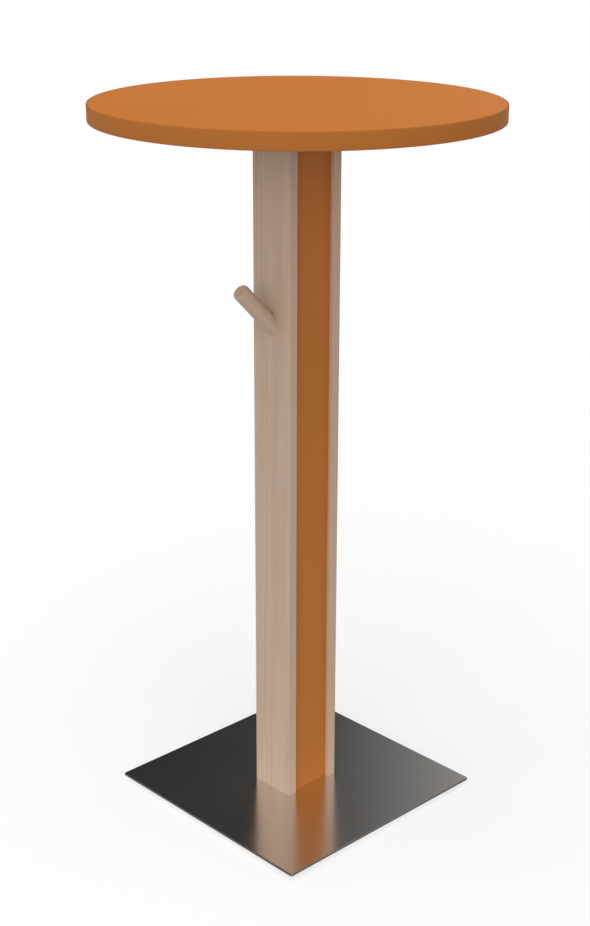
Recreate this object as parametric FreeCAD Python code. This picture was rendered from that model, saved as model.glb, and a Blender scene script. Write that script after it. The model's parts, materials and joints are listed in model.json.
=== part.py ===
"""Standing meeting table: a round board on a timber-clad column and a flat steel base.

The column is a box of two beech side boards with two coloured panels let into grooves between
them. It slides over a rectangular steel core and is clamped between the base plate and the head
plate. A beech peg for a bag or a coat leaves one side board at a slant. Four screw glides under
the base plate level the table.

Frame: millimetres, +Z up, origin on the floor at the centre of the base. The side boards look
along -X (left, with the peg) and +X (right), the panels along -Y (front) and +Y (rear).
"""
import FreeCAD, Part
import math
import os

# ------------------------------------------------------------------ driving dimensions
TABLE_HEIGHT = 1108.0

# round board: a core between two sheets of laminate, lipped round the rim
TOP_DIAMETER = 596.0
TOP_THICKNESS = 25.0
LAMINATE_THICKNESS = 0.8
EDGE_BAND_THICKNESS = 2.0
EDGE_BAND_ROUNDING = 1.6
EDGE_BAND_LAND = 0.2            # flat left between the rounding and the board

# column box
COLUMN_WIDTH = 104.0            # along X, over both side boards
COLUMN_DEPTH = 78.0             # along Y, the width of a side board
SIDE_BOARD_THICKNESS = 16.0
OUTER_ARRIS_ROUNDING = 2.0
INNER_ARRIS_ROUNDING = 1.5
PANEL_RECESS = 6.5              # panel face behind the side boards' edges
PANEL_THICKNESS = 8.0
PANEL_GROOVE_DEPTH = 5.0

# steel core inside the column, with a plug welded into each end
TUBE_WIDTH = 40.0               # along X
TUBE_DEPTH = 30.0               # along Y
TUBE_WALL = 3.0
TUBE_OUTER_RADIUS = 4.5
TUBE_INNER_RADIUS = 1.5
PLUG_THICKNESS = 20.0
COLLAR_THICKNESS = 18.0

# base plate
BASE_SIDE = 400.0
BASE_THICKNESS = 4.0
BASE_CORNER_RADIUS = 2.0
BASE_EDGE_BREAK = 0.5

# screw glides: boss, pad and M8 stud
GLIDE_INSET = 30.0              # glide axis from each edge of the plate
GLIDE_THREAD_DIAMETER = 8.0
GLIDE_THREAD_IN_PLATE = 2.0     # depth of the blind tapped hole in the base plate
GLIDE_COLLAR_HEIGHT = 2.0
GLIDE_COLLAR_FLATS = 13.0       # spanner size
GLIDE_NECK_DIAMETER = 5.0
GLIDE_BUTTON_LIP = 1.0          # button radius over the neck's
GLIDE_BUTTON_HEIGHT = 1.1
BOSS_DIAMETER = 20.0
BOSS_HEIGHT = 4.5
BOSS_EDGE_BREAK = 0.5
PAD_DIAMETER = 30.0
PAD_HEIGHT = 3.5
PAD_RIM_HEIGHT = 1.8
PAD_EDGE_BREAK = 0.8
PAD_FLOOR_THICKNESS = 1.2
PAD_SEAT_MARGIN = 1.5           # flat ring of the pad outside the spanner collar

# head plate that carries the board
HEAD_PLATE_SIDE = 240.0
HEAD_PLATE_THICKNESS = 5.0
HEAD_PLATE_CORNER_RADIUS = 15.0
HEAD_PLATE_EDGE_BREAK = 0.5

# M6 countersunk socket bolts that clamp the core between the two plates
CLAMP_BOLT_DIAMETER = 6.0
CLAMP_BOLT_LENGTH = 20.0
CLAMP_HEAD_DIAMETER = 12.0
CLAMP_SOCKET_FLATS = 4.0
CLAMP_SOCKET_DEPTH = 2.3
CLAMP_HEAD_SINK = 0.2           # head face below the plate's face
CLAMP_EDGE_DISTANCE = 5.0       # bolt axis from the inside wall of the tube

# M6 button-head bolts, washers and threaded inserts that hold the board
BOARD_BOLT_DIAMETER = 6.0
BOARD_BOLT_LENGTH = 16.0
BOARD_BOLT_EDGE_DISTANCE = 20.0
BUTTON_HEAD_DIAMETER = 10.5
BUTTON_HEAD_HEIGHT = 3.3
BUTTON_RIM_HEIGHT = 0.6
BUTTON_CROWN_DIAMETER = 5.6
BUTTON_SOCKET_FLATS = 4.0
BUTTON_SOCKET_DEPTH = 2.0
WASHER_DIAMETER = 12.0
WASHER_THICKNESS = 1.6
INSERT_DIAMETER = 10.0
INSERT_LENGTH = 13.0

# beech peg in the left side board, and the block behind it
PEG_HEIGHT = 789.0              # middle of the peg where it leaves the board
PEG_DIAMETER = 25.0
PEG_REACH = 85.0                # along the peg, from the board's face to the tip
PEG_RISE_ANGLE = 45.0           # degrees above level
PEG_TIP_ROUNDING = 3.0
PEG_BLOCK_MARGIN = 16.0         # wood above and below the peg's hole

# 4 mm countersunk wood screws that pull the block against the board
SCREW_DIAMETER = 4.0
SCREW_LENGTH = 25.0
SCREW_HEAD_DIAMETER = 8.0
SCREW_TIP_LENGTH = 4.0
SCREW_EDGE_DISTANCE = 8.0

# fits
GLUE_GAP = 0.1                  # between wooden faces that are glued
CORE_CLEARANCE = 0.3            # collars and block to the steel core, per side
THREAD_CLEARANCE = 0.05         # radius of a tapped or pilot hole over its screw
BOLT_CLEARANCE = 0.3            # radius of a plain hole over its bolt
SEAT_CLEARANCE = 0.05           # countersink over its bolt's head, in radius
BUTTON_CLEARANCE = 0.1          # glide button in its pad, all round
GLIDE_END_CLEARANCE = 0.2       # stud's end to the end of its blind hole
INSERT_END_CLEARANCE = 0.5      # insert or bolt to the end of its blind hole
PEG_CLEARANCE = 0.05            # radius of the peg's hole over the peg
PEG_END_CLEARANCE = 0.2         # peg's end to the bottom of its hole
PEG_HOLE_FLOOR = 2.0            # wood left between the peg's hole and the block's back
THREAD_TIP_CHAMFER = 0.8        # on the end of every machine thread

# ------------------------------------------------------------------ levels and places
LEVEL_PAD_TOP = PAD_HEIGHT
LEVEL_COLLAR_TOP = LEVEL_PAD_TOP + GLIDE_COLLAR_HEIGHT
LEVEL_BASE_BOTTOM = LEVEL_COLLAR_TOP + BOSS_HEIGHT
LEVEL_BASE_TOP = LEVEL_BASE_BOTTOM + BASE_THICKNESS
LEVEL_TOP_BOTTOM = TABLE_HEIGHT - TOP_THICKNESS
LEVEL_COLUMN_TOP = LEVEL_TOP_BOTTOM - HEAD_PLATE_THICKNESS
LEVEL_WASHER_BOTTOM = LEVEL_COLUMN_TOP - WASHER_THICKNESS
LEVEL_BOARD_BOLT_TIP = LEVEL_WASHER_BOTTOM + BOARD_BOLT_LENGTH

HALF_WIDTH = COLUMN_WIDTH / 2
HALF_DEPTH = COLUMN_DEPTH / 2
CAVITY_HALF_WIDTH = HALF_WIDTH - SIDE_BOARD_THICKNESS
PANEL_FACE = HALF_DEPTH - PANEL_RECESS
PANEL_BACK = PANEL_FACE - PANEL_THICKNESS
CORE_HALF_WIDTH = TUBE_WIDTH / 2 + CORE_CLEARANCE
CORE_HALF_DEPTH = TUBE_DEPTH / 2 + CORE_CLEARANCE

PEG_SLOPE = math.radians(PEG_RISE_ANGLE)
PEG_AXIS = FreeCAD.Vector(-math.cos(PEG_SLOPE), 0, math.sin(PEG_SLOPE))
PEG_ROOT = FreeCAD.Vector(-HALF_WIDTH, 0, PEG_HEIGHT)

ORIGIN = FreeCAD.Vector(0, 0, 0)
X_AXIS = FreeCAD.Vector(1, 0, 0)
Y_AXIS = FreeCAD.Vector(0, 1, 0)
Z_AXIS = FreeCAD.Vector(0, 0, 1)
TOLERANCE = 1e-6
HEXAGON_SIDES = 6

CORNERS = {
    "front_left": (-1, -1),
    "front_right": (1, -1),
    "rear_right": (1, 1),
    "rear_left": (-1, 1),
}


def at_corners(x, y):
    """Four places, one in each quarter, at the distances x and y from the middle."""
    return [(sx * x, sy * y) for sx, sy in CORNERS.values()]


# ------------------------------------------------------------------ shape helpers
def box(x_limits, y_limits, z_limits):
    """A box between two limits on each axis, given in either order."""
    limits = [sorted(pair) for pair in (x_limits, y_limits, z_limits)]
    corner = FreeCAD.Vector(*[low for low, high in limits])
    return Part.makeBox(*[high - low for low, high in limits], corner)


def centred_box(half_x, half_y, z_limits):
    """A box centred on the Z axis."""
    return box((-half_x, half_x), (-half_y, half_y), z_limits)


def post(radius, z_limits, place=(0, 0)):
    """An upright cylinder between two levels."""
    low, high = sorted(z_limits)
    return Part.makeCylinder(radius, high - low, FreeCAD.Vector(*place, low))


def hexagon_prism(across_flats, z_limits):
    """An upright hexagonal prism on the Z axis."""
    corner_radius = across_flats / 2 / math.cos(math.pi / HEXAGON_SIDES)
    low, high = z_limits
    corners = []
    for side in range(HEXAGON_SIDES + 1):
        angle = 2 * math.pi * side / HEXAGON_SIDES
        corners.append(FreeCAD.Vector(math.cos(angle), math.sin(angle), 0) * corner_radius)
    prism = Part.Face(Part.makePolygon(corners)).extrude(Z_AXIS * (high - low))
    return moved(prism, z=low)


def turned(profile):
    """A solid of revolution about Z from (radius, level) points that start and end on Z."""
    points = [FreeCAD.Vector(radius, 0, level) for radius, level in profile]
    outline = Part.makePolygon(points + points[:1])
    return Part.Face(outline).revolve(ORIGIN, Z_AXIS, 360)


def moved(shape, x=0.0, y=0.0, z=0.0):
    """A copy of the shape at another place."""
    copy = shape.copy()
    copy.translate(FreeCAD.Vector(x, y, z))
    return copy


def copies_at(shape, places):
    """One compound with a copy of the shape at each (x, y) place."""
    return Part.makeCompound([moved(shape, x, y) for x, y in places])


def cut_all(shape, cutters):
    """The shape less every cutter."""
    for cutter in cutters:
        shape = shape.cut(cutter)
    return shape


def upright_edges(shape, at_x=None):
    """The shape's straight upright edges, or only those at one X."""
    found = []
    for edge in shape.Edges:
        extent = edge.BoundBox
        upright = extent.ZLength > TOLERANCE and extent.XLength + extent.YLength < TOLERANCE
        if upright and (at_x is None or abs(extent.XMin - at_x) < TOLERANCE):
            found.append(edge)
    return found


def edges_at_level(shape, level):
    """The shape's edges that lie wholly at one level."""
    found = []
    for edge in shape.Edges:
        extent = edge.BoundBox
        if max(abs(extent.ZMin - level), abs(extent.ZMax - level)) < TOLERANCE:
            found.append(edge)
    return found


def rounded_block(half_x, half_y, z_limits, corner_radius):
    """An upright block on the Z axis with its four upright edges rounded."""
    block = centred_box(half_x, half_y, z_limits)
    return block.makeFillet(corner_radius, upright_edges(block))


# ------------------------------------------------------------------ M6 clamp bolts
def clamp_places():
    """Centres of the four bolts at each end of the core."""
    reach_x = TUBE_WIDTH / 2 - TUBE_WALL - CLAMP_EDGE_DISTANCE
    reach_y = TUBE_DEPTH / 2 - TUBE_WALL - CLAMP_EDGE_DISTANCE
    return at_corners(reach_x, reach_y)


def make_clamp_bolts(head_level, direction):
    """Four countersunk socket bolts. direction is +1 where they point up, -1 down."""
    head_radius = CLAMP_HEAD_DIAMETER / 2
    shank_radius = CLAMP_BOLT_DIAMETER / 2
    bolt = turned([
        (0, 0),
        (head_radius, 0),
        (shank_radius, head_radius - shank_radius),
        (shank_radius, CLAMP_BOLT_LENGTH - THREAD_TIP_CHAMFER),
        (shank_radius - THREAD_TIP_CHAMFER, CLAMP_BOLT_LENGTH),
        (0, CLAMP_BOLT_LENGTH),
    ])
    bolt = bolt.cut(hexagon_prism(CLAMP_SOCKET_FLATS, (0, CLAMP_SOCKET_DEPTH)))
    if direction < 0:
        bolt.rotate(ORIGIN, X_AXIS, 180)
    bolt = moved(bolt, z=head_level + direction * CLAMP_HEAD_SINK)
    return copies_at(bolt, clamp_places())


def clamp_holes(face_level, direction, thickness):
    """Cutters for the bolts' countersunk holes through a plate of that thickness."""
    mouth_radius = CLAMP_HEAD_DIAMETER / 2 + CLAMP_HEAD_SINK + SEAT_CLEARANCE
    hole_radius = CLAMP_BOLT_DIAMETER / 2 + BOLT_CLEARANCE
    cutter = turned([
        (0, 0),
        (mouth_radius, 0),
        (hole_radius, mouth_radius - hole_radius),
        (hole_radius, thickness),
        (0, thickness),
    ])
    if direction < 0:
        cutter.rotate(ORIGIN, X_AXIS, 180)
    return [moved(cutter, x, y, face_level) for x, y in clamp_places()]


# ------------------------------------------------------------------ base plate and glides
def glide_places():
    """Centres of the four glides."""
    reach = BASE_SIDE / 2 - GLIDE_INSET
    return at_corners(reach, reach)


def glide_thread_holes(z_limits):
    """Cutters for the glides' tapped holes."""
    radius = GLIDE_THREAD_DIAMETER / 2 + THREAD_CLEARANCE
    return [post(radius, z_limits, place) for place in glide_places()]


def make_base_plate():
    """Brushed steel plate with the core's bolt holes and blind tapped holes for the glides."""
    half = BASE_SIDE / 2
    plate = rounded_block(half, half, (LEVEL_BASE_BOTTOM, LEVEL_BASE_TOP), BASE_CORNER_RADIUS)
    plate = plate.makeChamfer(BASE_EDGE_BREAK, edges_at_level(plate, LEVEL_BASE_TOP))
    plate = cut_all(plate, clamp_holes(LEVEL_BASE_BOTTOM, 1, BASE_THICKNESS))
    hole_top = LEVEL_BASE_BOTTOM + GLIDE_THREAD_IN_PLATE
    return cut_all(plate, glide_thread_holes((LEVEL_BASE_BOTTOM, hole_top)))


def make_levelling_boss():
    """Tapped steel disc welded under the plate, which gives the thread its length."""
    levels = (LEVEL_COLLAR_TOP, LEVEL_BASE_BOTTOM)
    disc = post(BOSS_DIAMETER / 2, levels)
    disc = disc.makeChamfer(BOSS_EDGE_BREAK, edges_at_level(disc, LEVEL_COLLAR_TOP))
    return disc.cut(post(GLIDE_THREAD_DIAMETER / 2 + THREAD_CLEARANCE, levels))


def glide_button_levels():
    """Bottom and top of the button that holds the stud in its pad."""
    bottom = PAD_FLOOR_THICKNESS + BUTTON_CLEARANCE
    return bottom, bottom + GLIDE_BUTTON_HEIGHT


def make_glide_pad():
    """Nylon pad that stands on the floor, with a socket for the stud's button."""
    rim_radius = PAD_DIAMETER / 2
    collar_radius = GLIDE_COLLAR_FLATS / 2 / math.cos(math.pi / HEXAGON_SIDES)
    throat_radius = GLIDE_NECK_DIAMETER / 2 + BUTTON_CLEARANCE
    socket_radius = throat_radius + GLIDE_BUTTON_LIP
    socket_top = glide_button_levels()[1] + BUTTON_CLEARANCE
    return turned([
        (0, 0),
        (rim_radius - PAD_EDGE_BREAK, 0),
        (rim_radius, PAD_EDGE_BREAK),
        (rim_radius, PAD_RIM_HEIGHT),
        (collar_radius + PAD_SEAT_MARGIN, LEVEL_PAD_TOP),
        (throat_radius, LEVEL_PAD_TOP),
        (throat_radius, socket_top),
        (socket_radius, socket_top),
        (socket_radius, PAD_FLOOR_THICKNESS),
        (0, PAD_FLOOR_THICKNESS),
    ])


def make_glide_stud():
    """Steel stud: button in the pad, spanner collar on the pad, thread up into the plate."""
    button_bottom, button_top = glide_button_levels()
    neck_radius = GLIDE_NECK_DIAMETER / 2
    thread_radius = GLIDE_THREAD_DIAMETER / 2
    thread_top = LEVEL_BASE_BOTTOM + GLIDE_THREAD_IN_PLATE - GLIDE_END_CLEARANCE
    shaft = turned([
        (0, button_bottom),
        (neck_radius + GLIDE_BUTTON_LIP, button_bottom),
        (neck_radius + GLIDE_BUTTON_LIP, button_top),
        (neck_radius, button_top),
        (neck_radius, LEVEL_PAD_TOP),
        (thread_radius, LEVEL_PAD_TOP),
        (thread_radius, thread_top - THREAD_TIP_CHAMFER),
        (thread_radius - THREAD_TIP_CHAMFER, thread_top),
        (0, thread_top),
    ])
    collar = hexagon_prism(GLIDE_COLLAR_FLATS, (LEVEL_PAD_TOP, LEVEL_COLLAR_TOP))
    return shaft.fuse(collar).removeSplitter()


# ------------------------------------------------------------------ steel core
def tube_bore(z_limits):
    """The inside of the tube between two levels, as a solid."""
    half_x = TUBE_WIDTH / 2 - TUBE_WALL
    half_y = TUBE_DEPTH / 2 - TUBE_WALL
    return rounded_block(half_x, half_y, z_limits, TUBE_INNER_RADIUS)


def make_core_tube():
    """Rectangular steel tube as long as the column, which carries the board."""
    levels = (LEVEL_BASE_TOP, LEVEL_COLUMN_TOP)
    outside = rounded_block(TUBE_WIDTH / 2, TUBE_DEPTH / 2, levels, TUBE_OUTER_RADIUS)
    return outside.cut(tube_bore(levels))


def make_core_plug(bottom):
    """Steel block welded into one end of the tube, tapped for the four clamp bolts."""
    levels = (bottom, bottom + PLUG_THICKNESS)
    radius = CLAMP_BOLT_DIAMETER / 2 + THREAD_CLEARANCE
    return cut_all(tube_bore(levels), [post(radius, levels, place) for place in clamp_places()])


# ------------------------------------------------------------------ column box
def make_side_board():
    """The right side board, of beech, with two grooves for the panels."""
    levels = (LEVEL_BASE_TOP, LEVEL_COLUMN_TOP)
    board = box((CAVITY_HALF_WIDTH, HALF_WIDTH), (-HALF_DEPTH, HALF_DEPTH), levels)
    board = board.makeFillet(OUTER_ARRIS_ROUNDING, upright_edges(board, HALF_WIDTH))
    board = board.makeFillet(INNER_ARRIS_ROUNDING, upright_edges(board, CAVITY_HALF_WIDTH))
    across = (CAVITY_HALF_WIDTH - GLUE_GAP, CAVITY_HALF_WIDTH + PANEL_GROOVE_DEPTH)
    for side in (-1, 1):
        faces = (side * (PANEL_FACE + GLUE_GAP), side * (PANEL_BACK - GLUE_GAP))
        board = board.cut(box(across, faces, levels))
    return board


def make_infill_panel(side):
    """Coloured panel in the side boards' grooves. side is -1 at the front, +1 at the rear."""
    half = CAVITY_HALF_WIDTH + PANEL_GROOVE_DEPTH - GLUE_GAP
    faces = (side * PANEL_FACE, side * PANEL_BACK)
    return box((-half, half), faces, (LEVEL_BASE_TOP, LEVEL_COLUMN_TOP))


def make_spacer_collar(bottom):
    """Plywood ring glued into the column box, which slides over the steel core."""
    levels = (bottom, bottom + COLLAR_THICKNESS)
    ring = centred_box(CAVITY_HALF_WIDTH - GLUE_GAP, PANEL_BACK - GLUE_GAP, levels)
    return ring.cut(centred_box(CORE_HALF_WIDTH, CORE_HALF_DEPTH, levels))


def collar_levels():
    """Bottom of each collar: one at each end, one under the peg's block, one half way to it."""
    foot = LEVEL_BASE_TOP
    under_block = peg_block_levels()[0] - COLLAR_THICKNESS
    return {
        "foot": foot,
        "lower": (foot + under_block) / 2,
        "middle": under_block,
        "top": LEVEL_COLUMN_TOP - COLLAR_THICKNESS,
    }


# ------------------------------------------------------------------ peg and its block
def peg_embedment():
    """Length of peg inside the column: its lower corner stops short of the block's back."""
    room = HALF_WIDTH - CORE_HALF_WIDTH - PEG_HOLE_FLOOR
    corner = PEG_DIAMETER / 2 * math.sin(PEG_SLOPE)
    return (room - corner) / math.cos(PEG_SLOPE)


def peg_hole():
    """Cutter for the peg's blind hole, open through the side board's outer face."""
    depth = peg_embedment() + PEG_END_CLEARANCE
    radius = PEG_DIAMETER / 2 + PEG_CLEARANCE
    bottom = PEG_ROOT - PEG_AXIS * depth
    return Part.makeCylinder(radius, depth + PEG_REACH, bottom, PEG_AXIS)


def peg_block_levels():
    """Bottom and top of the block, with a margin of wood round the whole slanting hole."""
    half_mouth = PEG_DIAMETER / 2 / math.cos(PEG_SLOPE)
    slope = math.tan(PEG_SLOPE)
    axis_at_front = PEG_HEIGHT - SIDE_BOARD_THICKNESS * slope
    axis_at_back = PEG_HEIGHT - (HALF_WIDTH - CORE_HALF_WIDTH) * slope
    bottom = axis_at_back - half_mouth - PEG_BLOCK_MARGIN
    top = axis_at_front + half_mouth + PEG_BLOCK_MARGIN
    return bottom, top


def block_screws(growth):
    """The four screws from the block's back into the side board, grown to make their holes."""
    head_radius = SCREW_HEAD_DIAMETER / 2 + growth
    shank_radius = SCREW_DIAMETER / 2 + growth
    screw = turned([
        (0, 0),
        (head_radius, 0),
        (shank_radius, head_radius - shank_radius),
        (shank_radius, SCREW_LENGTH - SCREW_TIP_LENGTH),
        (0, SCREW_LENGTH + growth),
    ])
    screw.rotate(ORIGIN, Y_AXIS, -90)
    bottom, top = peg_block_levels()
    reach = PANEL_BACK - SCREW_EDGE_DISTANCE
    screws = []
    for level in (bottom + SCREW_EDGE_DISTANCE, top - SCREW_EDGE_DISTANCE):
        for side in (-1, 1):
            screws.append(moved(screw, -CORE_HALF_WIDTH, side * reach, level))
    return screws


def make_coat_peg():
    """Round beech peg glued into its slanting hole, with a rounded tip."""
    peg = post(PEG_DIAMETER / 2, (-peg_embedment(), PEG_REACH))
    peg = peg.makeFillet(PEG_TIP_ROUNDING, edges_at_level(peg, PEG_REACH))
    peg.Placement = FreeCAD.Placement(PEG_ROOT, FreeCAD.Rotation(Z_AXIS, PEG_AXIS))
    return peg


def make_peg_block():
    """Beech block behind the left side board, which gives the peg its depth of hole."""
    across = (-(CAVITY_HALF_WIDTH - GLUE_GAP), -CORE_HALF_WIDTH)
    half = PANEL_BACK - GLUE_GAP
    block = box(across, (-half, half), peg_block_levels())
    return cut_all(block, [peg_hole()] + block_screws(THREAD_CLEARANCE))


def make_left_side_board():
    """The left side board: the right one turned round, with the peg's hole and the screws'."""
    board = make_side_board()
    board.rotate(ORIGIN, Z_AXIS, 180)
    return cut_all(board, [peg_hole()] + block_screws(THREAD_CLEARANCE))


# ------------------------------------------------------------------ head plate and its bolts
def board_bolt_places():
    """Centres of the four bolts that hold the board."""
    reach = HEAD_PLATE_SIDE / 2 - BOARD_BOLT_EDGE_DISTANCE
    return at_corners(reach, reach)


def make_head_plate():
    """Steel plate bolted to the core from above and to the board from below."""
    half = HEAD_PLATE_SIDE / 2
    levels = (LEVEL_COLUMN_TOP, LEVEL_TOP_BOTTOM)
    plate = rounded_block(half, half, levels, HEAD_PLATE_CORNER_RADIUS)
    plate = plate.makeChamfer(HEAD_PLATE_EDGE_BREAK, edges_at_level(plate, LEVEL_COLUMN_TOP))
    plate = cut_all(plate, clamp_holes(LEVEL_TOP_BOTTOM, -1, HEAD_PLATE_THICKNESS))
    radius = BOARD_BOLT_DIAMETER / 2 + BOLT_CLEARANCE
    return cut_all(plate, [post(radius, levels, place) for place in board_bolt_places()])


def make_board_bolts():
    """Button-head socket bolts, driven up through the head plate into the inserts."""
    shank_radius = BOARD_BOLT_DIAMETER / 2
    head_radius = BUTTON_HEAD_DIAMETER / 2
    head_bottom = LEVEL_WASHER_BOTTOM - BUTTON_HEAD_HEIGHT
    bolt = turned([
        (0, head_bottom),
        (BUTTON_CROWN_DIAMETER / 2, head_bottom),
        (head_radius, LEVEL_WASHER_BOTTOM - BUTTON_RIM_HEIGHT),
        (head_radius, LEVEL_WASHER_BOTTOM),
        (shank_radius, LEVEL_WASHER_BOTTOM),
        (shank_radius, LEVEL_BOARD_BOLT_TIP - THREAD_TIP_CHAMFER),
        (shank_radius - THREAD_TIP_CHAMFER, LEVEL_BOARD_BOLT_TIP),
        (0, LEVEL_BOARD_BOLT_TIP),
    ])
    socket_levels = (head_bottom, head_bottom + BUTTON_SOCKET_DEPTH)
    bolt = bolt.cut(hexagon_prism(BUTTON_SOCKET_FLATS, socket_levels))
    return copies_at(bolt, board_bolt_places())


def make_washers():
    """Flat washers under the button heads."""
    levels = (LEVEL_WASHER_BOTTOM, LEVEL_COLUMN_TOP)
    washer = post(WASHER_DIAMETER / 2, levels)
    washer = washer.cut(post(BOARD_BOLT_DIAMETER / 2 + BOLT_CLEARANCE, levels))
    return copies_at(washer, board_bolt_places())


def make_inserts():
    """Threaded inserts in the underside of the board."""
    levels = (LEVEL_TOP_BOTTOM, LEVEL_TOP_BOTTOM + INSERT_LENGTH)
    insert = post(INSERT_DIAMETER / 2, levels)
    insert = insert.cut(post(BOARD_BOLT_DIAMETER / 2 + THREAD_CLEARANCE, levels))
    return copies_at(insert, board_bolt_places())


# ------------------------------------------------------------------ round board
def make_board_layer(z_limits):
    """One round layer of the board inside the edge band, with the inserts' blind holes."""
    layer = post(TOP_DIAMETER / 2 - EDGE_BAND_THICKNESS, z_limits)
    radius = INSERT_DIAMETER / 2 + THREAD_CLEARANCE
    deepest = max(LEVEL_TOP_BOTTOM + INSERT_LENGTH, LEVEL_BOARD_BOLT_TIP)
    hole_levels = (LEVEL_TOP_BOTTOM, deepest + INSERT_END_CLEARANCE)
    return cut_all(layer, [post(radius, hole_levels, place) for place in board_bolt_places()])


def make_edge_band():
    """Lipping round the rim, with both of its outer arrises rounded."""
    levels = (LEVEL_TOP_BOTTOM, TABLE_HEIGHT)
    band = post(TOP_DIAMETER / 2, levels)
    arrises = edges_at_level(band, LEVEL_TOP_BOTTOM) + edges_at_level(band, TABLE_HEIGHT)
    rounding = min(EDGE_BAND_ROUNDING, EDGE_BAND_THICKNESS - EDGE_BAND_LAND)
    band = band.makeFillet(rounding, arrises)
    return band.cut(post(TOP_DIAMETER / 2 - EDGE_BAND_THICKNESS, levels))


# ------------------------------------------------------------------ assembly
def make_nodes():
    """Every sub-part of the table by its name."""
    backing_top = LEVEL_TOP_BOTTOM + LAMINATE_THICKNESS
    face_bottom = TABLE_HEIGHT - LAMINATE_THICKNESS
    nodes = {
        "base_plate": make_base_plate(),
        "foot_bolts": make_clamp_bolts(LEVEL_BASE_BOTTOM, 1),
        "core_tube": make_core_tube(),
        "core_foot_plug": make_core_plug(LEVEL_BASE_TOP),
        "core_head_plug": make_core_plug(LEVEL_COLUMN_TOP - PLUG_THICKNESS),
        "side_board_left": make_left_side_board(),
        "side_board_right": make_side_board(),
        "front_panel": make_infill_panel(-1),
        "rear_panel": make_infill_panel(1),
        "coat_peg": make_coat_peg(),
        "peg_block": make_peg_block(),
        "peg_block_screws": Part.makeCompound(block_screws(0)),
        "head_plate": make_head_plate(),
        "head_bolts": make_clamp_bolts(LEVEL_TOP_BOTTOM, -1),
        "board_bolts": make_board_bolts(),
        "board_washers": make_washers(),
        "board_inserts": make_inserts(),
        "board_core": make_board_layer((backing_top, face_bottom)),
        "board_face_sheet": make_board_layer((face_bottom, TABLE_HEIGHT)),
        "board_backing_sheet": make_board_layer((LEVEL_TOP_BOTTOM, backing_top)),
        "board_edge_band": make_edge_band(),
    }
    for name, bottom in collar_levels().items():
        nodes["spacer_collar_" + name] = make_spacer_collar(bottom)
    for corner, place in zip(CORNERS, glide_places()):
        nodes["glide_boss_" + corner] = moved(make_levelling_boss(), *place)
        nodes["glide_stud_" + corner] = moved(make_glide_stud(), *place)
        nodes["glide_pad_" + corner] = moved(make_glide_pad(), *place)
    return nodes


def main():
    """Writes each sub-part to its own STEP file."""
    os.makedirs("parts", exist_ok=True)
    for name, shape in make_nodes().items():
        shape.exportStep("parts/" + name + ".step")
        print(name, len(shape.Solids), "solid(s)", round(shape.Volume), "mm3", shape.isValid())


main()
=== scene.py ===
"""Standing meeting table: a round orange board on a beech-clad column with a coat peg, on a flat
steel base. Everything is in metres, +Z up, floor at z = 0, side boards to -X and +X."""

import json
import math

import bmesh
import bpy
from mathutils import Matrix, Vector


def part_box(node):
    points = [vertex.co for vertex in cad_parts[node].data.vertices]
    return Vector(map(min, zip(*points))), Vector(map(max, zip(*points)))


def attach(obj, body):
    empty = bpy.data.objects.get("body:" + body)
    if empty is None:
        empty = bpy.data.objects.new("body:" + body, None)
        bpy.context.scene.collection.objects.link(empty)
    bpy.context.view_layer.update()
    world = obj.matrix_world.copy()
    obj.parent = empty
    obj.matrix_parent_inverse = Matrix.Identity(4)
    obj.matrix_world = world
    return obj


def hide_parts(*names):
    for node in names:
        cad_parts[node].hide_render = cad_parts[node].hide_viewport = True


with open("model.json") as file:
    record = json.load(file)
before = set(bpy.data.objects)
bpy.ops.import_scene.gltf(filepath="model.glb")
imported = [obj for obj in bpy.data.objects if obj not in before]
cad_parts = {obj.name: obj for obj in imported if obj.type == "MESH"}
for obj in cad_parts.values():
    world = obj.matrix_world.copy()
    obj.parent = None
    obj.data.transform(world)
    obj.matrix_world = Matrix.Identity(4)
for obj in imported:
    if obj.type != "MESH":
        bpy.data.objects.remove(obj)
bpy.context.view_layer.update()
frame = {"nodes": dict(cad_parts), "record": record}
nodes = frame["nodes"]
scene = bpy.context.scene


# ---------------------------------------------------------------- base plate
# A square of 4 mm stainless sheet that everything stands on. It is laser cut, ground in one
# direction along X and clear of any coating, and its cut edges stay duller than its face.
def linear(hex_colour):
    """A #RRGGBB colour as linear red, green, blue and alpha."""
    channels = [int(hex_colour[i:i + 2], 16) / 255 for i in (1, 3, 5)]
    return (*(c / 12.92 if c <= 0.04045 else ((c + 0.055) / 1.055) ** 2.4 for c in channels), 1)


def add(tree, kind, inputs=None, **settings):
    """One node with its settings and inputs, which go by the sockets' names or identifiers: a
    value, an output, or another node's outputs, of which the first is linked."""
    node = tree.nodes.new(kind)
    for setting, value in settings.items():
        setattr(node, setting, value)
    sockets = {socket.name: socket for socket in list(node.inputs)[::-1]}
    sockets.update({socket.identifier: socket for socket in node.inputs})
    for label, value in (inputs or {}).items():
        if isinstance(value, dict):
            value = next(iter(value.values()))
        if isinstance(value, bpy.types.NodeSocket):
            tree.links.new(value, sockets[label])
        else:
            sockets[label].default_value = value
    return {output.name: output for output in node.outputs if output.enabled}


def new_finish(name):
    """An empty material and its node tree."""
    material = bpy.data.materials.new(name)
    material.use_nodes = True
    material.node_tree.nodes.clear()
    return material, material.node_tree


def dress(material, *names):
    """Gives CAD nodes their finish."""
    for name in names:
        for slot in nodes[name].material_slots:
            slot.material = material


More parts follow.
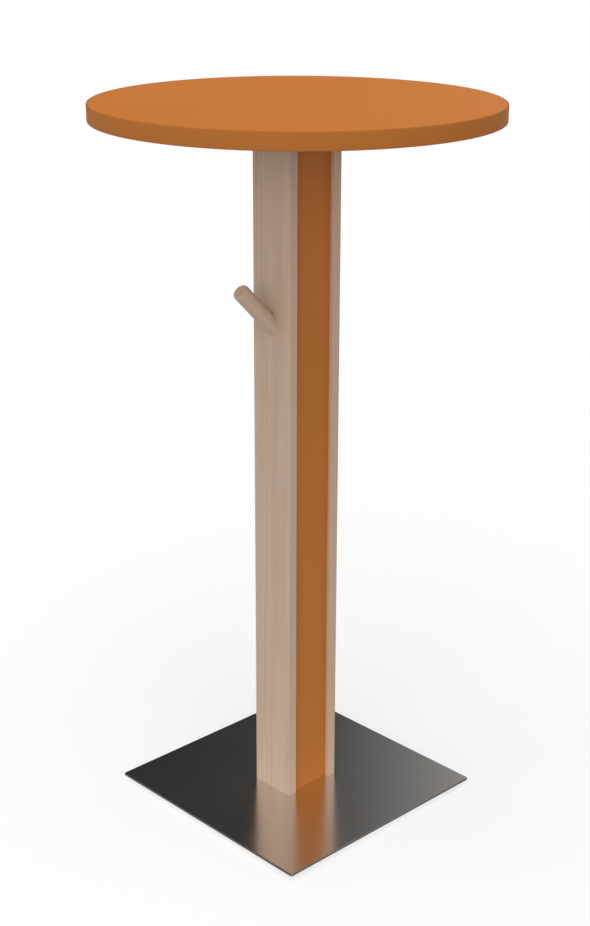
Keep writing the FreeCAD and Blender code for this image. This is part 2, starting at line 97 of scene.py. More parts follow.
PLATE_RIM = 0.0004          # depth of the laser-cut edge that counts as rim
GRIND_LINE = 0.0012         # real grinding lines are 0.1 mm apart; drawn coarser to show
GRIND_LENGTH = 0.15
GRIND_DEPTH = 0.0002
GRIND_ROUGHNESS = (0.165, 0.195)
CLOUD = 0.111               # patches where the belt pressed a little harder
CLOUD_ROUGHNESS = 0.04
CUT_EDGE_ROUGHNESS = 0.7
GRINDING_COLOUR = "#E6E2DE"
CUT_EDGE_COLOUR = "#7F7D7B"

# ground stainless steel: a dark blurred mirror, in which the column's foot shows, with faint
# lines along X; the cut edge scatters more and reads as a thin dull line
ground_steel, tree = new_finish("ground_stainless_steel")
place = add(tree, "ShaderNodeTexCoord")["Object"]
lines = add(tree, "ShaderNodeMapping", {
    "Vector": place, "Scale": (1 / GRIND_LENGTH, 1 / GRIND_LINE, 1 / GRIND_LINE)})
lines = add(tree, "ShaderNodeTexNoise", {"Vector": lines, "Scale": 1.0, "Detail": 3.0})
clouds = add(tree, "ShaderNodeTexNoise", {"Vector": place, "Scale": 1 / CLOUD, "Detail": 1.0})
roughness = add(tree, "ShaderNodeMapRange", {
    "Value": lines["Fac"], "From Min": 0.3, "From Max": 0.7,
    "To Min": GRIND_ROUGHNESS[0], "To Max": GRIND_ROUGHNESS[1]})
roughness = add(tree, "ShaderNodeMath", {
    "Value": clouds["Fac"], "Value_001": CLOUD_ROUGHNESS, "Value_002": roughness},
    operation="MULTIPLY_ADD")
spot = add(tree, "ShaderNodeSeparateXYZ", {"Vector": place})
across = add(tree, "ShaderNodeMath", {"Value": spot["X"]}, operation="ABSOLUTE")
along = add(tree, "ShaderNodeMath", {"Value": spot["Y"]}, operation="ABSOLUTE")
reach = add(tree, "ShaderNodeMath", {
    "Value": across, "Value_001": along}, operation="MAXIMUM")
rim = add(tree, "ShaderNodeMath", {
    "Value": reach, "Value_001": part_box("base_plate")[1].x - PLATE_RIM},
    operation="GREATER_THAN")
colour = add(tree, "ShaderNodeMix", {
    "Factor_Float": rim, "A_Color": linear(GRINDING_COLOUR),
    "B_Color": linear(CUT_EDGE_COLOUR)}, data_type="RGBA")
roughness = add(tree, "ShaderNodeMix", {
    "Factor_Float": rim, "A_Float": roughness, "B_Float": CUT_EDGE_ROUGHNESS},
    data_type="FLOAT")
bump = add(tree, "ShaderNodeBump", {
    "Height": lines["Fac"], "Strength": 0.04, "Distance": GRIND_DEPTH})
shader = add(tree, "ShaderNodeBsdfPrincipled", {
    "Base Color": colour["Result"], "Metallic": 1.0,
    "Roughness": roughness["Result"], "Normal": bump})
add(tree, "ShaderNodeOutputMaterial", {"Surface": shader})
dress(ground_steel, "base_plate")


# ---------------------------------------------------------------- levelling glides
# Under each corner of the plate: a steel boss welded to it, a plated M8 stud that screws into the
# boss and is turned by its 13 mm spanner collar, and a moulded nylon pad clipped on its button.
def turned(name, profile, segments=64, ring=False, groove=None):
    """A closed mesh turned about Z from (radius, level) points, or a ring where they go round.
    groove gives the depth taken off at a level and share of a turn, as a thread does."""
    shape = bmesh.new()
    rows = []
    for radius, level in profile:
        row = []
        for step in range(segments if radius else 1):
            share = step / segments
            reach = radius - (groove(level, share) if groove else 0)
            angle = 2 * math.pi * share
            row.append(shape.verts.new((reach * math.cos(angle), reach * math.sin(angle), level)))
        rows.append(row)
    for low, high in zip(rows, rows[1:] + (rows[:1] if ring else [])):
        for step in range(segments):
            corner = (step + 1) % segments
            corners = [row[i % len(row)] for row, i in (
                (low, step), (low, corner), (high, corner), (high, step))]
            shape.faces.new(list(dict.fromkeys(corners)))
    bmesh.ops.recalc_face_normals(shape, faces=shape.faces)
    mesh = bpy.data.meshes.new(name)
    shape.to_mesh(mesh)
    shape.free()
    return mesh


def arc(centre, radius, start, end, steps=4):
    """Points of a rounded corner, between two angles in degrees."""
    angles = [math.radians(start + (end - start) * i / steps) for i in range(steps + 1)]
    return [(centre[0] + radius * math.cos(a), centre[1] + radius * math.sin(a)) for a in angles]


def thread(low, high, pitch, depth):
    """Levels and groove of a screw thread cut between two levels."""
    count = round((high - low) / pitch * 8)
    levels = [low + (high - low) * i / count for i in range(count + 1)]

    def groove(level, share):
        if not low <= level <= high:
            return 0
        return depth * (1 - abs(2 * ((level - low) / pitch - share) % 2 - 1))
    return levels, groove


SLIVER = 0.000001           # triangles narrower than this are merged away


def form_tree(name, inputs):
    """An empty tree for a mesh with named inputs, and the node that gives them."""
    tree = bpy.data.node_groups.new(name, "GeometryNodeTree")
    tree.interface.new_socket("Geometry", in_out="OUTPUT", socket_type="NodeSocketGeometry")
    for label, kind in inputs.items():
        tree.interface.new_socket(label, in_out="INPUT", socket_type="NodeSocket" + kind)
    return tree, add(tree, "NodeGroupInput")


def close_tree(tree, geometry, material):
    """Ends a tree with plain geometry, free of the slivers that a cut leaves, in its material."""
    clean = add(tree, "GeometryNodeMergeByDistance", {"Geometry": geometry, "Distance": SLIVER})
    real = add(tree, "GeometryNodeRealizeInstances", {"Geometry": clean})
    finished = add(tree, "GeometryNodeSetMaterial", {
        "Geometry": real, "Material": material})
    add(tree, "NodeGroupOutput", {"Geometry": finished})


def grow(tree, values, blank=None):
    """The plain mesh that a tree makes from a blank and values for its named inputs."""
    source = bpy.data.objects.new(tree.name, blank or bpy.data.meshes.new(tree.name))
    scene.collection.objects.link(source)
    modifier = source.modifiers.new("form", "NODES")
    modifier.node_group = tree
    for item in tree.interface.items_tree:
        if item.in_out == "INPUT" and item.name in values:
            modifier[item.identifier] = values[item.name]
    graph = bpy.context.evaluated_depsgraph_get()
    mesh = bpy.data.meshes.new_from_object(source.evaluated_get(graph), depsgraph=graph)
    source.modifiers.clear()
    bpy.data.objects.remove(source)
    return mesh


def fit(name, mesh, material, slot, body, *replaced, sharp=35):
    """Puts a finished mesh in the scene as a piece of the table, in place of CAD nodes."""
    mesh.name = name
    if not mesh.materials or mesh.materials[0] != material:
        mesh.materials.clear()
        mesh.materials.append(material)
    mesh.shade_smooth()
    mesh.set_sharp_from_angle(angle=math.radians(sharp))
    piece = bpy.data.objects.new(name, mesh)
    scene.collection.objects.link(piece)
    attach(piece, body)
    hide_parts(*replaced)
    return piece


# radii, roundings and pitches, and levels over the floor where a name ends in TOP, RIM or FLOOR
BOSS_BORE = 0.00405
BOSS_EDGE = 0.0005
STUD_THREAD = 0.004
STUD_PITCH = 0.00125
STUD_THREAD_DEPTH = 0.0006
STUD_TIP = 0.0008
COLLAR_FLATS = 0.013
COLLAR_CORNER = COLLAR_FLATS / 2 / math.cos(math.pi / 6)
COLLAR_BEVEL = 0.0004
FLATS_CUTTER = 0.02         # any height over the collar's
NECK = 0.0025
BUTTON = 0.0035
BUTTON_EDGE = 0.0003
BUTTON_TOP = 0.0024
PAD_RIM = 0.0018
PAD_EDGE = 0.0008
PAD_FLOOR = 0.0012
PAD_THROAT = 0.0026
PAD_SOCKET = 0.0036
PAD_SOCKET_TOP = 0.0025
PAD_SEAT = 0.0090
MILL_SCALE_PATCH = 0.0167
MILL_SCALE_COLOURS = ("#6E6C6B", "#8C8A88")
ZINC_SPOT = 0.0045
ZINC_COLOURS = ("#B4B6B8", "#C9CCD0")
MOULD_PIT = 0.00045
MOULD_PIT_DEPTH = 0.0001
NYLON_COLOUR = "#26262A"

# mild steel as rolled and turned: grey, half dull, with darker cloudy patches of mill scale
mill_steel, tree = new_finish("mild_steel_as_rolled")
place = add(tree, "ShaderNodeTexCoord")["Object"]
patches = add(tree, "ShaderNodeTexNoise", {
    "Vector": place, "Scale": 1 / MILL_SCALE_PATCH, "Detail": 4.0})
colour = add(tree, "ShaderNodeMix", {
    "Factor_Float": patches["Fac"], "A_Color": linear(MILL_SCALE_COLOURS[0]),
    "B_Color": linear(MILL_SCALE_COLOURS[1])}, data_type="RGBA")
roughness = add(tree, "ShaderNodeMapRange", {
    "Value": patches["Fac"], "To Min": 0.35, "To Max": 0.55})
shader = add(tree, "ShaderNodeBsdfPrincipled", {
    "Base Color": colour["Result"], "Metallic": 1.0,
    "Roughness": roughness})
add(tree, "ShaderNodeOutputMaterial", {"Surface": shader})

# bright zinc plate: pale, cool and satin, slightly uneven from the bath
zinc_plate, tree = new_finish("zinc_plated_steel")
place = add(tree, "ShaderNodeTexCoord")["Object"]
bath = add(tree, "ShaderNodeTexNoise", {"Vector": place, "Scale": 1 / ZINC_SPOT, "Detail": 2.0})
colour = add(tree, "ShaderNodeMix", {
    "Factor_Float": bath["Fac"], "A_Color": linear(ZINC_COLOURS[0]),
    "B_Color": linear(ZINC_COLOURS[1])}, data_type="RGBA")
roughness = add(tree, "ShaderNodeMapRange", {
    "Value": bath["Fac"], "To Min": 0.26, "To Max": 0.38})
shader = add(tree, "ShaderNodeBsdfPrincipled", {
    "Base Color": colour["Result"], "Metallic": 1.0,
    "Roughness": roughness})
add(tree, "ShaderNodeOutputMaterial", {"Surface": shader})

# moulded nylon: near black and satin, with the fine pitting of a spark-eroded mould
nylon, tree = new_finish("moulded_black_nylon")
place = add(tree, "ShaderNodeTexCoord")["Object"]
pitting = add(tree, "ShaderNodeTexNoise", {
    "Vector": place, "Scale": 1 / MOULD_PIT, "Detail": 2.0})
roughness = add(tree, "ShaderNodeMapRange", {
    "Value": pitting["Fac"], "To Min": 0.42, "To Max": 0.58})
bump = add(tree, "ShaderNodeBump", {
    "Height": pitting["Fac"], "Strength": 0.3, "Distance": MOULD_PIT_DEPTH})
shader = add(tree, "ShaderNodeBsdfPrincipled", {
    "Base Color": linear(NYLON_COLOUR), "Roughness": roughness, "IOR": 1.53,
    "Normal": bump})
add(tree, "ShaderNodeOutputMaterial", {"Surface": shader})

# the tree that mills six flats on a stud's round collar, by taking away all outside a hexagon
flats_tree, given = form_tree("spanner_flats", {
    "Geometry": "Geometry", "Corner Radius": "Float", "Level": "Vector", "Height": "Float",
    "Material": "Material"})
hexagon = add(flats_tree, "GeometryNodeMeshCylinder", {
    "Vertices": 6, "Radius": given["Corner Radius"], "Depth": FLATS_CUTTER})
twice = add(flats_tree, "ShaderNodeMath", {
    "Value": given["Corner Radius"], "Value_001": 2.0}, operation="MULTIPLY")
waste = add(flats_tree, "GeometryNodeMeshCylinder", {
    "Vertices": 24, "Radius": twice, "Depth": given["Height"]})
waste = add(flats_tree, "GeometryNodeMeshBoolean", {
    "Mesh 1": waste["Mesh"], "Mesh 2": hexagon["Mesh"]},
    operation="DIFFERENCE", solver="EXACT")
waste = add(flats_tree, "GeometryNodeTransform", {
    "Geometry": waste["Mesh"], "Translation": given["Level"]})
milled = add(flats_tree, "GeometryNodeMeshBoolean", {
    "Mesh 1": given["Geometry"], "Mesh 2": waste},
    operation="DIFFERENCE", solver="EXACT")
close_tree(flats_tree, milled["Mesh"], given["Material"])

for corner in ("front_left", "front_right", "rear_right", "rear_left"):
    boss_low, boss_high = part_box("glide_boss_" + corner)
    stud_low, stud_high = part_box("glide_stud_" + corner)
    pad_low, pad_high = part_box("glide_pad_" + corner)
    axis = Matrix.Translation(((boss_low.x + boss_high.x) / 2, (boss_low.y + boss_high.y) / 2, 0))
    boss_radius = (boss_high.x - boss_low.x) / 2
    pad_radius = (pad_high.x - pad_low.x) / 2

    boss = turned("boss", [
        (BOSS_BORE, boss_low.z),
        *arc((boss_radius - BOSS_EDGE, boss_low.z + BOSS_EDGE), BOSS_EDGE, -90, 0),
        (boss_radius, boss_high.z),
        (BOSS_BORE, boss_high.z)], ring=True)
    boss.transform(axis)
    fit("levelling_boss_" + corner, boss, mill_steel, "bare_steel", "table",
        "glide_boss_" + corner)

    levels, groove = thread(
        boss_low.z + STUD_TIP, stud_high.z - STUD_TIP, STUD_PITCH, STUD_THREAD_DEPTH)
    stud = turned("stud", [
        (0, stud_low.z),
        (BUTTON - BUTTON_EDGE, stud_low.z),
        (BUTTON, stud_low.z + BUTTON_EDGE),
        (BUTTON, BUTTON_TOP),
        (NECK, BUTTON_TOP),
        (NECK, pad_high.z),
        (COLLAR_CORNER - COLLAR_BEVEL, pad_high.z),
        (COLLAR_CORNER, pad_high.z + COLLAR_BEVEL),
        (COLLAR_CORNER, boss_low.z - COLLAR_BEVEL),
        (COLLAR_CORNER - COLLAR_BEVEL, boss_low.z),
        (STUD_THREAD, boss_low.z),
        *[(STUD_THREAD, level) for level in levels],
        (STUD_THREAD - STUD_TIP, stud_high.z),
        (0, stud_high.z)], segments=48, groove=groove)
    stud = grow(flats_tree, {
        "Corner Radius": COLLAR_CORNER, "Height": boss_low.z - pad_high.z,
        "Level": (0, 0, (boss_low.z + pad_high.z) / 2), "Material": zinc_plate}, stud)
    stud.transform(axis)
    fit("levelling_stud_" + corner, stud, zinc_plate, "plated_steel", "stud_" + corner,
        "glide_stud_" + corner)

    pad = turned("pad", [
        (0, pad_low.z),
        *arc((pad_radius - PAD_EDGE, pad_low.z + PAD_EDGE), PAD_EDGE, -90, 0),
        *arc((pad_radius - PAD_EDGE, PAD_RIM - PAD_EDGE / 2), PAD_EDGE, 0, 60),
        (PAD_SEAT, pad_high.z),
        (PAD_THROAT, pad_high.z),
        (PAD_THROAT, PAD_SOCKET_TOP),
        (PAD_SOCKET, PAD_SOCKET_TOP),
        (PAD_SOCKET, PAD_FLOOR),
        (0, PAD_FLOOR)])
    pad.transform(axis)
    fit("levelling_pad_" + corner, pad, nylon, "nylon", "pad_" + corner, "glide_pad_" + corner)


# ---------------------------------------------------------------- steel core
# A rectangular tube runs the whole height of the column. A tapped plug is welded in each end, and
# four countersunk socket bolts come up through the base plate into the lower one.
CLAMP_HEAD = 0.006
CLAMP_HEAD_EDGE = 0.0002
CLAMP_SHANK = 0.003
CLAMP_PITCH = 0.001
CLAMP_THREAD_DEPTH = 0.0005
CLAMP_TIP = 0.0008
CLAMP_SOCKET_CORNER = 0.002 / math.cos(math.pi / 6)
CLAMP_SOCKET_DEPTH = 0.0023

dress(mill_steel, "core_tube", "core_foot_plug", "core_head_plug")

# the tree that drives a hexagon socket into a blank and sets four of the bolt at the corners of
# a rectangle
bolts_tree, given = form_tree("four_socket_bolts", {
    "Geometry": "Geometry", "Socket Radius": "Float", "Socket Place": "Vector",
    "Socket Height": "Float", "Spread X": "Float", "Spread Y": "Float", "Material": "Material"})
key = add(bolts_tree, "GeometryNodeMeshCylinder", {
    "Vertices": 6, "Radius": given["Socket Radius"], "Depth": given["Socket Height"]})
key = add(bolts_tree, "GeometryNodeTransform", {
    "Geometry": key["Mesh"], "Translation": given["Socket Place"]})
bolt = add(bolts_tree, "GeometryNodeMeshBoolean", {
    "Mesh 1": given["Geometry"], "Mesh 2": key}, operation="DIFFERENCE", solver="EXACT")
corners = add(bolts_tree, "GeometryNodeMeshGrid", {
    "Size X": given["Spread X"], "Size Y": given["Spread Y"], "Vertices X": 2, "Vertices Y": 2})
bolts = add(bolts_tree, "GeometryNodeInstanceOnPoints", {
    "Points": corners["Mesh"], "Instance": bolt["Mesh"]})
close_tree(bolts_tree, bolts, given["Material"])


def clamp_bolts(name, node, upward):
    """Four M6 countersunk socket bolts in the places of a CAD node."""
    low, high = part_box(node)
    head, point, way = (low.z, high.z, 1) if upward else (high.z, low.z, -1)
    neck = CLAMP_HEAD - CLAMP_SHANK
    length = abs(point - head)
    levels, groove = thread(
        neck + CLAMP_PITCH, length - CLAMP_TIP, CLAMP_PITCH, CLAMP_THREAD_DEPTH)
    blank = turned("bolt", [(radius, head + way * depth) for radius, depth in [
        (0, 0),
        (CLAMP_HEAD - CLAMP_HEAD_EDGE, 0),
        (CLAMP_HEAD, CLAMP_HEAD_EDGE),
        (CLAMP_SHANK, neck),
        *[(CLAMP_SHANK, level) for level in levels],
        (CLAMP_SHANK - CLAMP_TIP, length),
        (0, length)]],
        segments=32, groove=lambda level, share: groove(way * (level - head), share))
    mesh = grow(bolts_tree, {
        "Socket Radius": CLAMP_SOCKET_CORNER, "Socket Place": (0, 0, head),
        "Socket Height": 2 * CLAMP_SOCKET_DEPTH, "Spread X": high.x - low.x - 2 * CLAMP_HEAD,
        "Spread Y": high.y - low.y - 2 * CLAMP_HEAD, "Material": zinc_plate}, blank)
    fit(name, mesh, zinc_plate, "plated_steel", "table", node)


clamp_bolts("base_socket_bolts", "foot_bolts", upward=True)


# ---------------------------------------------------------------- spacer collars
# Four rings of 18 mm birch plywood, glued inside the column's box, slide over the steel core and
# keep the box straight on it. They are sawn, so their edges show the plies.
WAVE = 0.314                # a wave texture of scale 1 repeats after this length
PLY = 0.0014
BIRCH_GRAIN = 0.0033
BIRCH_GRAIN_LENGTH = 0.083
BIRCH_GRAIN_DEPTH = 0.0003
PLY_COLOURS = ("#C9A878", "#E2CBA4")
BIRCH_GRAIN_COLOUR = "#D8BC90"

# birch plywood: pale cream face with fine grain, and edges striped by plies of turned grain
birch_ply, tree = new_finish("birch_plywood")
place = add(tree, "ShaderNodeTexCoord")["Object"]
plies = add(tree, "ShaderNodeTexWave", {
    "Vector": place, "Scale": WAVE / (2 * PLY), "Distortion": 0.4, "Detail": 1.0},
    wave_type="BANDS", bands_direction="Z")
grain = add(tree, "ShaderNodeMapping", {
    "Vector": place, "Scale": (1 / BIRCH_GRAIN_LENGTH, 1 / BIRCH_GRAIN, 1 / BIRCH_GRAIN)})
grain = add(tree, "ShaderNodeTexNoise", {"Vector": grain, "Scale": 1.0, "Detail": 3.0})
colour = add(tree, "ShaderNodeMix", {
    "Factor_Float": plies["Fac"], "A_Color": linear(PLY_COLOURS[0]),
    "B_Color": linear(PLY_COLOURS[1])}, data_type="RGBA")
colour = add(tree, "ShaderNodeMix", {
    "Factor_Float": grain["Fac"], "A_Color": colour["Result"],
    "B_Color": linear(BIRCH_GRAIN_COLOUR)}, data_type="RGBA")
bump = add(tree, "ShaderNodeBump", {
    "Height": grain["Fac"], "Strength": 0.25, "Distance": BIRCH_GRAIN_DEPTH})
shader = add(tree, "ShaderNodeBsdfPrincipled", {
    "Base Color": colour["Result"], "Roughness": 0.75, "IOR": 1.5,
    "Normal": bump})
add(tree, "ShaderNodeOutputMaterial", {"Surface": shader})
dress(birch_ply, *["spacer_collar_" + level for level in ("foot", "lower", "middle", "top")])


# ---------------------------------------------------------------- side boards
# Two planed boards of pale beech, 16 mm thick, stand on the plate and close the column's narrow
# sides. Their long outer arrises are rounded and they have one matt coat of clear lacquer.
RING = 0.0034               # yearly growth
STREAK = 0.013              # paler and darker bands over several years
ALONG_TRUNK = 0.06          # how fast rings and streaks change along the trunk, over across
FLECK = 0.0009              # real rays are 0.3 mm wide; drawn wider so that they show
FLECK_ALONG_TRUNK = 0.14
FLECK_DEPTH = 0.0001
EARLY_WOOD_COLOURS = ("#C0A28D", "#CEB7A1")
LATE_WOOD_COLOUR = "#A38069"
LATE_WOOD_SHARE = 0.16
FLECK_COLOUR = "#967159"
FLECK_SHARE = 0.20


def beech(name, pith, turn=(0, 0, 0)):
    """Beech wood whose pith runs along Z through a point, or is turned to lie along a piece:
    pinkish and pale, with faint rings, short darker flecks and a matt, nearly closed surface."""
    material, tree = new_finish(name)
    place = add(tree, "ShaderNodeTexCoord")["Object"]
    trunk = add(tree, "ShaderNodeMapping", {
        "Vector": place, "Location": pith, "Rotation": turn}, vector_type="TEXTURE")
    slow = add(tree, "ShaderNodeMapping", {"Vector": trunk, "Scale": (1.0, 1.0, ALONG_TRUNK)})
    rings = add(tree, "ShaderNodeTexWave", {
        "Vector": slow, "Scale": WAVE / RING, "Distortion": 9.0, "Detail": 2.0,
        "Detail Scale": 0.18, "Detail Roughness": 0.55}, wave_type="RINGS", rings_direction="Z")
    streaks = add(tree, "ShaderNodeTexNoise", {
        "Vector": slow, "Scale": 1 / STREAK, "Detail": 3.0, "Roughness": 0.55})
    flecks = add(tree, "ShaderNodeMapping", {
        "Vector": trunk, "Scale": (1.0, 1.0, FLECK_ALONG_TRUNK)})
    flecks = add(tree, "ShaderNodeTexNoise", {
        "Vector": flecks, "Scale": 1 / FLECK, "Detail": 1.0, "Roughness": 0.4})
    flecks = add(tree, "ShaderNodeMapRange", {
        "Value": flecks["Fac"], "From Min": 0.60, "From Max": 0.72})
    early = add(tree, "ShaderNodeMix", {
        "Factor_Float": streaks["Fac"], "A_Color": linear(EARLY_WOOD_COLOURS[0]),
        "B_Color": linear(EARLY_WOOD_COLOURS[1])}, data_type="RGBA")
    late = add(tree, "ShaderNodeMath", {
        "Value": rings["Fac"], "Value_001": LATE_WOOD_SHARE}, operation="MULTIPLY")
    wood = add(tree, "ShaderNodeMix", {
        "Factor_Float": late, "A_Color": early["Result"],
        "B_Color": linear(LATE_WOOD_COLOUR)}, data_type="RGBA")
    flecked = add(tree, "ShaderNodeMath", {
        "Value": flecks, "Value_001": FLECK_SHARE}, operation="MULTIPLY")
    wood = add(tree, "ShaderNodeMix", {
        "Factor_Float": flecked, "A_Color": wood["Result"],
        "B_Color": linear(FLECK_COLOUR)}, data_type="RGBA")
    roughness = add(tree, "ShaderNodeMapRange", {
        "Value": streaks["Fac"], "To Min": 0.50, "To Max": 0.62})
    bump = add(tree, "ShaderNodeBump", {
        "Height": flecks, "Strength": 0.15, "Distance": FLECK_DEPTH}, invert=True)
    shader = add(tree, "ShaderNodeBsdfPrincipled", {
        "Base Color": wood["Result"], "Roughness": roughness,
        "IOR": 1.5, "Normal": bump})
    add(tree, "ShaderNodeOutputMaterial", {"Surface": shader})
    return material


dress(beech("lacquered_beech_left", (0.11, -0.035, 0)), "side_board_left")
dress(beech("lacquered_beech_right", (0.13, 0.05, 0.4)), "side_board_right")


# ---------------------------------------------------------------- front and rear panels
# Strips of 8 mm fibreboard let into grooves between the side boards, 6.5 mm behind their edges.
# They are sprayed with a satin orange lacquer that matches the round board.
ORANGE_PEEL = 0.004
ORANGE_PEEL_DEPTH = 0.0001
SPRAY_HAZE = 0.0714
LACQUER_COLOURS = ("#B9702E", "#BE7533")

# satin lacquer on fibreboard: an even closed colour with the long soft ripple of sprayed paint
orange_lacquer, tree = new_finish("satin_orange_lacquer")
place = add(tree, "ShaderNodeTexCoord")["Object"]
ripple = add(tree, "ShaderNodeTexNoise", {
    "Vector": place, "Scale": 1 / ORANGE_PEEL, "Detail": 1.0})
haze = add(tree, "ShaderNodeTexNoise", {"Vector": place, "Scale": 1 / SPRAY_HAZE, "Detail": 2.0})
colour = add(tree, "ShaderNodeMix", {
    "Factor_Float": haze["Fac"], "A_Color": linear(LACQUER_COLOURS[0]),
    "B_Color": linear(LACQUER_COLOURS[1])}, data_type="RGBA")
bump = add(tree, "ShaderNodeBump", {
    "Height": ripple["Fac"], "Strength": 0.2, "Distance": ORANGE_PEEL_DEPTH})
shader = add(tree, "ShaderNodeBsdfPrincipled", {
    "Base Color": colour["Result"], "Roughness": 0.45, "IOR": 1.5,
    "Specular IOR Level": 0.15, "Normal": bump})
add(tree, "ShaderNodeOutputMaterial", {"Surface": shader})
dress(orange_lacquer, "front_panel", "rear_panel")


# ---------------------------------------------------------------- coat peg
# A beech dowel, turned with a softened tip, is glued in a slanting hole in the left side board
# and in the beech block behind it. Four wood screws pull the block against the board.
PEG_TIP_ROUNDING = 0.003
PEG_FOOT_CHAMFER = 0.0008

dress(beech("bare_beech_block", (0.06, 0.09, 0)), "peg_block")
dress(zinc_plate, "peg_block_screws")

mount = next(m for m in frame["record"]["mounts"] if m["name"] == "coat_peg")
peg_axis = Vector(mount["axis"]).normalized()
peg_middle = Vector(mount["pos_m"])
offsets = [vertex.co - peg_middle for vertex in nodes["coat_peg"].data.vertices]
peg_foot = min(offset.dot(peg_axis) for offset in offsets)
peg_tip = max(offset.dot(peg_axis) for offset in offsets)
peg_radius = max((offset - peg_axis * offset.dot(peg_axis)).length for offset in offsets)
peg_lean = math.atan2(peg_axis.x, peg_axis.z)

peg = turned("peg", [
    (0, peg_foot),
    (peg_radius - PEG_FOOT_CHAMFER, peg_foot),
    (peg_radius, peg_foot + PEG_FOOT_CHAMFER),
    *arc((peg_radius - PEG_TIP_ROUNDING, peg_tip - PEG_TIP_ROUNDING), PEG_TIP_ROUNDING, 0, 90, 8),
    (0, peg_tip)], segments=96)
peg.transform(Matrix.Translation(peg_middle) @ Matrix.Rotation(peg_lean, 4, "Y"))
fit("turned_peg", peg, beech("turned_beech_peg", (-0.09, 0.03, 0.85), (0, peg_lean, 0)), "beech",
    "table", "coat_peg")


# ---------------------------------------------------------------- head plate
# A square of 5 mm steel with rounded corners lies on the column under the board. Four socket bolts
# clamp it down on the core's upper plug. It is powder coated black against the board's underside.
POWDER = 0.0012             # the powder's real grain is 0.4 mm; drawn coarser to show
POWDER_DEPTH = 0.0001
POWDER_COLOUR = "#1E1E20"

# black powder coat: a closed dark grey film with a fine pebbled texture and little shine
powder_coat, tree = new_finish("black_powder_coat")
place = add(tree, "ShaderNodeTexCoord")["Object"]
pebbles = add(tree, "ShaderNodeTexVoronoi", {"Vector": place, "Scale": 1 / POWDER})
roughness = add(tree, "ShaderNodeMapRange", {
    "Value": pebbles["Distance"], "To Min": 0.5, "To Max": 0.68})
bump = add(tree, "ShaderNodeBump", {
    "Height": pebbles["Distance"], "Strength": 0.35, "Distance": POWDER_DEPTH})
shader = add(tree, "ShaderNodeBsdfPrincipled", {
    "Base Color": linear(POWDER_COLOUR), "Roughness": roughness, "IOR": 1.5,
    "Normal": bump})
add(tree, "ShaderNodeOutputMaterial", {"Surface": shader})
dress(powder_coat, "head_plate")

clamp_bolts("head_socket_bolts", "head_bolts", upward=False)


# ---------------------------------------------------------------- round board
# A disc of chipboard faced with laminate on both sides. A 2 mm plastic edging is glued round its
# rim and rounded over above and below, and brass inserts in its underside take the bolts.
BOARD_SEGMENTS = 256
JOINT = 0.0001              # hairline between the laminate and the edging
FACE_EDGE = 0.0001
EDGING_THICKNESS = 0.002
EDGING_ROUNDING = 0.0016
TURNING_MARK = 0.00033
TURNING_MARK_LENGTH = 0.025
BRASS_COLOURS = ("#B08D4C", "#D0AC66")
CHIP = 0.004
CHIP_DEPTH = 0.0004
CHIP_COLOURS = ("#9C7B50", "#C9AB7C")
LAMINATE_PEARL = 0.0022     # the press plate's real pearls are 0.8 mm; drawn coarser to show
PEARL_DEPTH = 0.0001
LAMINATE_HAZE = 0.2
LAMINATE_COLOURS = ("#D57F36", "#DA843A")
DRAW_LINE = 0.00143         # real lines are 0.2 mm apart; drawn coarser so that they show
DRAW_LENGTH = 0.333
DRAW_DEPTH = 0.0001
# the laminate's orange darkened: painted shade of the upright rim, not a darker plastic
EDGING_SHADED_COLOURS = ("#B06C31", "#B57035")

# turned brass: yellow and slightly dulled, with fine marks round it from the lathe
brass, tree = new_finish("turned_brass")
place = add(tree, "ShaderNodeTexCoord")["Object"]
marks = add(tree, "ShaderNodeMapping", {
    "Vector": place,
    "Scale": (1 / TURNING_MARK_LENGTH, 1 / TURNING_MARK_LENGTH, 1 / TURNING_MARK)})
marks = add(tree, "ShaderNodeTexNoise", {"Vector": marks, "Scale": 1.0, "Detail": 1.0})
colour = add(tree, "ShaderNodeMix", {
    "Factor_Float": marks["Fac"], "A_Color": linear(BRASS_COLOURS[0]),
    "B_Color": linear(BRASS_COLOURS[1])}, data_type="RGBA")
shader = add(tree, "ShaderNodeBsdfPrincipled", {
    "Base Color": colour["Result"], "Metallic": 1.0, "Roughness": 0.34})
add(tree, "ShaderNodeOutputMaterial", {"Surface": shader})
dress(brass, "board_inserts")

# raw chipboard: tan chips of a few millimetres, each of its own tone, with dark gaps between them
chipboard, tree = new_finish("raw_chipboard")
place = add(tree, "ShaderNodeTexCoord")["Object"]
chips = add(tree, "ShaderNodeTexVoronoi", {"Vector": place, "Scale": 1 / CHIP})
tone = add(tree, "ShaderNodeSeparateXYZ", {"Vector": chips["Color"]})
colour = add(tree, "ShaderNodeMix", {
    "Factor_Float": tone["X"], "A_Color": linear(CHIP_COLOURS[0]),
    "B_Color": linear(CHIP_COLOURS[1])}, data_type="RGBA")
bump = add(tree, "ShaderNodeBump", {
    "Height": chips["Distance"], "Strength": 0.5, "Distance": CHIP_DEPTH})
shader = add(tree, "ShaderNodeBsdfPrincipled", {
    "Base Color": colour["Result"], "Roughness": 0.85, "IOR": 1.5,
    "Normal": bump})
add(tree, "ShaderNodeOutputMaterial", {"Surface": shader})
dress(chipboard, "board_core")

